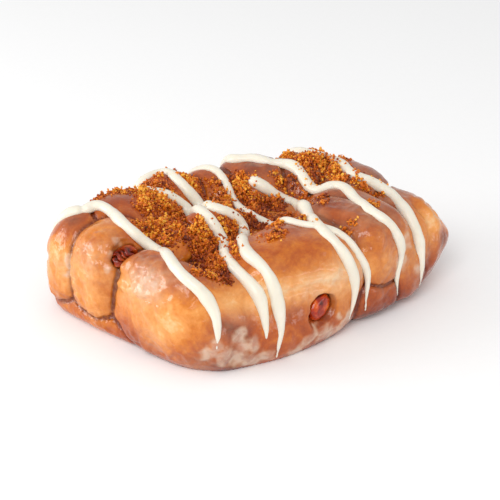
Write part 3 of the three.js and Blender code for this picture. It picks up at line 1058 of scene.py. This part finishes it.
# The grid of places on which grains pile up: its cell, how far it reaches along x and y from
# the middle, the height that it is looked down on from, and what it holds beside the fritter.
CRUMB_CELL = 0.4
GRID_HALF = (64, 54)
GRID_SKY = 80
GRID_EMPTY = -20.0
GRAINS_PER_MM2 = 6
GRAIN_FORMS = 12
FINE_GRAIN = 0.3  # grains under this radius have a simpler form
# The least, the usual and the greatest radius of grains in clumps and of loose ones.
CLUMP_GRAIN = (0.18, 0.26, 0.7)
LOOSE_GRAIN = (0.16, 0.24, 0.6)
# How much of either stays where it falls on icing.
CLUMP_ON_ICING = 0.07
LOOSE_ON_ICING = 0.03
CLUMP_SIZE = (8, 20, 90)  # the least, the usual and the greatest number of grains
CLUMPED = 0.7  # the share of the grains that is in clumps
# A grain rolls down a slope that is steeper than this, by this much at a time, but some stick.
STEEP = 0.9
ROLLS = 10
ROLL = 0.5
STICK = 0.15
CRUMB_FLOOR = 14  # no grain stays on anything lower
# Grains at this height are dry, those below it are darker, partly as soaked and partly as painted
# shade, down to a least share over this depth, and those on top of a pile this thick are lighter
# by this much, partly as drier grains and partly as painted light.
DRY_AND_LIT_HEIGHT = 36
SOAKED_AND_SHADED_DEPTH = 13
SOAKED_AND_SHADED_LEAST = 0.25
PILE = 2.5
PILE_TINT = 0.22
TINT_SPREAD = 0.17


def surface_heights(pieces):
    """The height of each piece's topmost surface over a grid of places, in mm."""
    xs, ys = (np.arange(-half, half, CRUMB_CELL) for half in GRID_HALF)
    heights = np.full((len(pieces), len(xs), len(ys)), GRID_EMPTY)
    for k, one in enumerate(pieces):
        corners = [v.co / MM + MIDDLE for v in one.data.vertices]
        tree = BVHTree.FromPolygons(corners, [tuple(p.vertices) for p in one.data.polygons])
        for i, x in enumerate(xs):
            for j, y in enumerate(ys):
                hit = tree.ray_cast(Vector((x, y, GRID_SKY)), Vector((0, 0, -1)))[0]
                if hit:
                    heights[k, i, j] = hit.z
    return heights


def grain_forms(rng, fine):
    """A few irregular grains."""
    bm = bmesh.new()
    if fine:
        bmesh.ops.create_cone(
            bm, cap_ends=True, cap_tris=True, segments=4, radius1=1, radius2=0.4, depth=1.5
        )
    else:
        bmesh.ops.create_icosphere(bm, subdivisions=1, radius=1)
    bmesh.ops.triangulate(bm, faces=bm.faces)
    bm.verts.index_update()
    points = np.array([v.co for v in bm.verts])
    faces = np.array([[v.index for v in f.verts] for f in bm.faces])
    bm.free()
    return [
        (points * rng.uniform(0.62, 1.25, (len(points), 1)), faces) for _ in range(GRAIN_FORMS)
    ]


def make_crumb(material, pieces):
    rng = np.random.default_rng(4)
    noise.seed_set(3)
    under = surface_heights(pieces)
    top = under.max(axis=0)
    iced = under[1] > under[0]
    fine_forms = grain_forms(rng, True)
    forms = grain_forms(rng, False)
    grains = []

    def drop(x, y, radius, seat, tint):
        for _ in range(ROLLS):
            i = int(round((x + GRID_HALF[0]) / CRUMB_CELL))
            j = int(round((y + GRID_HALF[1]) / CRUMB_CELL))
            east = (top[i + 2, j] - top[i - 2, j]) / (4 * CRUMB_CELL)
            north = (top[i, j + 2] - top[i, j - 2]) / (4 * CRUMB_CELL)
            slope = math.hypot(east, north)
            if slope < STEEP or rng.random() < STICK:
                break
            x -= ROLL * east / slope
            y -= ROLL * north / slope
        if top[i, j] < CRUMB_FLOOR or (iced[i, j] and rng.random() > seat):
            return
        z = top[i, j] + 0.3 * radius
        reach = max(1, int(radius / CRUMB_CELL))
        window = np.s_[i - reach : i + reach + 1, j - reach : j + reach + 1]
        di, dj = np.mgrid[-reach : reach + 1, -reach : reach + 1] * CRUMB_CELL
        dome = z + np.sqrt(np.clip(radius**2 - di**2 - dj**2, 0, None)) * 0.8
        covered = di**2 + dj**2 < radius**2
        top[window] = np.where(covered, np.maximum(top[window], dome), top[window])
        axis = Vector(noise.random_unit_vector(size=3))
        spin = np.array(Matrix.Rotation(rng.uniform(0, 6.28), 3, axis))
        points, faces = (fine_forms if radius < FINE_GRAIN else forms)[rng.integers(GRAIN_FORMS)]
        stretch = rng.uniform(0.7, 1.35, 3)
        # Painted shade and light: low grains are darker and grains high on a pile lighter, besides
        # their soaking.
        above = np.clip((z - under[0, i, j]) / PILE, 0, 1)
        dry_and_lit = np.clip(1.1 - (DRY_AND_LIT_HEIGHT - z) / SOAKED_AND_SHADED_DEPTH, SOAKED_AND_SHADED_LEAST, 1)
        own_tint = tint + rng.normal(0, TINT_SPREAD)
        tone = np.clip(own_tint * dry_and_lit + PILE_TINT * above, 0, 1)
        grains.append(((points * stretch * radius) @ spin.T + (x, y, z), faces, tone))

    for x, y, radius, thick in CRUMB_PATCHES:
        count = int(math.pi * radius**2 * GRAINS_PER_MM2 * thick)
        clumps = []
        while sum(size for *_, size, _ in clumps) < CLUMPED * count:
            away = rng.normal(0, 0.5 * radius, 2)
            size = int(rng.triangular(*CLUMP_SIZE))
            clumps.append((x + away[0], y + away[1], size, rng.normal(0.62, 0.15)))
        for clump_x, clump_y, size, tint in clumps:
            spread = 0.16 * math.sqrt(size)
            for _ in range(size):
                gx, gy = rng.normal((clump_x, clump_y), spread)
                drop(gx, gy, rng.triangular(*CLUMP_GRAIN), CLUMP_ON_ICING, tint)
        for _ in range(int(0.3 * count)):
            angle = rng.uniform(0, 2 * math.pi)
            reach = 1.2 * radius * math.sqrt(rng.random())
            gx, gy = x + reach * math.cos(angle), y + reach * math.sin(angle)
            drop(gx, gy, rng.triangular(*LOOSE_GRAIN), LOOSE_ON_ICING, 0.5)
    half = len(grains) // 2
    for name, share in (("crumb_left", grains[:half]), ("crumb_right", grains[half:])):
        piece(name, many(share), material, smooth=False)


# ---- The apple ----

# The left piece is a stack of thin slivers: their thickness, how far their edges stand out, and
# how much they lean and wander.
SLIVER = 1.9
SLIVER_RIDGE = 1.0
SLIVER_LEAN = 0.3
SLIVER_WANDER = 1.6


def make_apple(name, material, slivers):
    apple = APPLES[name]
    bm = bmesh.new()
    bmesh.ops.create_icosphere(bm, subdivisions=6, radius=1)
    mesh = mesh_of(bm)
    half = np.array(apple["half"])
    local = on_round_box(points_of(mesh), (0, 0, 0), half, APPLE_BULGE)
    swell = 1 + 0.05 * noises(local, 2.2, 9) + 0.04 * noises(local, 5, 10)
    between = np.zeros(len(local))
    if slivers:
        wander = SLIVER_WANDER * noises(local, 3.5, 13)
        across = local[:, 0] + SLIVER_LEAN * local[:, 1] + wander
        ridge = np.abs(np.sin(math.pi * (across / SLIVER)))
        proud = SLIVER_RIDGE * (0.8 + 0.8 * noises(local, 2.6, 14))
        swell += proud * (ridge - 0.75) / half[1:].max()
        # Darker all over, and darker still in the grooves between slivers as painted shade.
        between = 0.35 + 0.6 * (1 - ridge) ** 2
    turned = lie(apple["tilt"], apple["turn"])
    move_points(mesh, (local * swell[:, None]) @ turned.T + apple["centre"])
    give(mesh, "between", between)
    piece("stewed_" + name, mesh, material, replaces=name)


# ---- Camera, light and floor ----

CAMERA_TURN = -45
CAMERA_LIFT = 29
CAMERA_DISTANCE = 504
CAMERA_AIM = (-8, -7, 16.2)
CAMERA_LENS = 100
CAMERA_SHIFT = (0.01, 0.034)  # sets the fritter a little left and low in the picture

# The lights: place and aim in metres, width and height in metres, and watts.
SOFTBOXES = {
    "key": ((-0.62, -0.33, 0.71), (0, 0, 0.02), 0.45, 0.45, 3.6),
    "left_strip": ((-0.6, 0.52, 0.26), (-0.04, 0, 0.02), 0.5, 0.32, 3.2),
    "front_strip": ((0.22, -0.84, 0.24), (0, 0, 0.02), 0.5, 0.16, 0.9),
}
SURROUNDINGS = 0.7  # how bright the white all round is
FLOOR_HALF = 4  # metres


def make_camera():
    turn, lift = math.radians(CAMERA_TURN), math.radians(CAMERA_LIFT)
    back = Vector(
        (math.sin(turn) * math.cos(lift), -math.cos(turn) * math.cos(lift), math.sin(lift))
    )
    right = Vector((math.cos(turn), math.sin(turn), 0))
    data = bpy.data.cameras.new("camera")
    data.lens = CAMERA_LENS
    data.sensor_width = 36
    data.clip_start = 0.01
    data.shift_x, data.shift_y = CAMERA_SHIFT
    camera = bpy.data.objects.new("camera", data)
    bpy.context.scene.collection.objects.link(camera)
    camera.location = (Vector(CAMERA_AIM) - MIDDLE + back * CAMERA_DISTANCE) * MM
    camera.rotation_euler = Matrix((right, back.cross(right), back)).transposed().to_euler()
    bpy.context.scene.camera = camera


def softbox(name, place, aim, width, height, watts):
    data = bpy.data.lights.new(name, "AREA")
    data.shape = "RECTANGLE"
    data.size = width
    data.size_y = height
    data.energy = watts
    light = bpy.data.objects.new(name, data)
    bpy.context.scene.collection.objects.link(light)
    light.location = place
    light.rotation_euler = (Vector(place) - Vector(aim)).to_track_quat("Z", "Y").to_euler()


def make_studio():
    scene = bpy.context.scene
    scene.view_settings.view_transform = "Standard"
    world = bpy.data.worlds.new("white_surroundings")
    world.use_nodes = True
    background = world.node_tree.nodes["Background"]
    background.inputs["Color"].default_value = (1, 1, 1, 1)
    background.inputs["Strength"].default_value = SURROUNDINGS
    scene.world = world
    bm = bmesh.new()
    bmesh.ops.create_grid(bm, x_segments=8, y_segments=8, size=FLOOR_HALF)
    floor = bpy.data.objects.new("floor", mesh_of(bm))
    floor.data.materials.append(white_paper())
    scene.collection.objects.link(floor)
    for name, values in SOFTBOXES.items():
        softbox(name, *values)


make_camera()
make_studio()
the_dough = make_dough(fried_dough())
the_icing = make_icing(white_icing())
make_crumb(brown_sugar_crumb(), [the_dough, the_icing])
apple_material = stewed_apple()
make_apple("apple_piece_front", apple_material, slivers=False)
make_apple("apple_piece_left", apple_material, slivers=True)
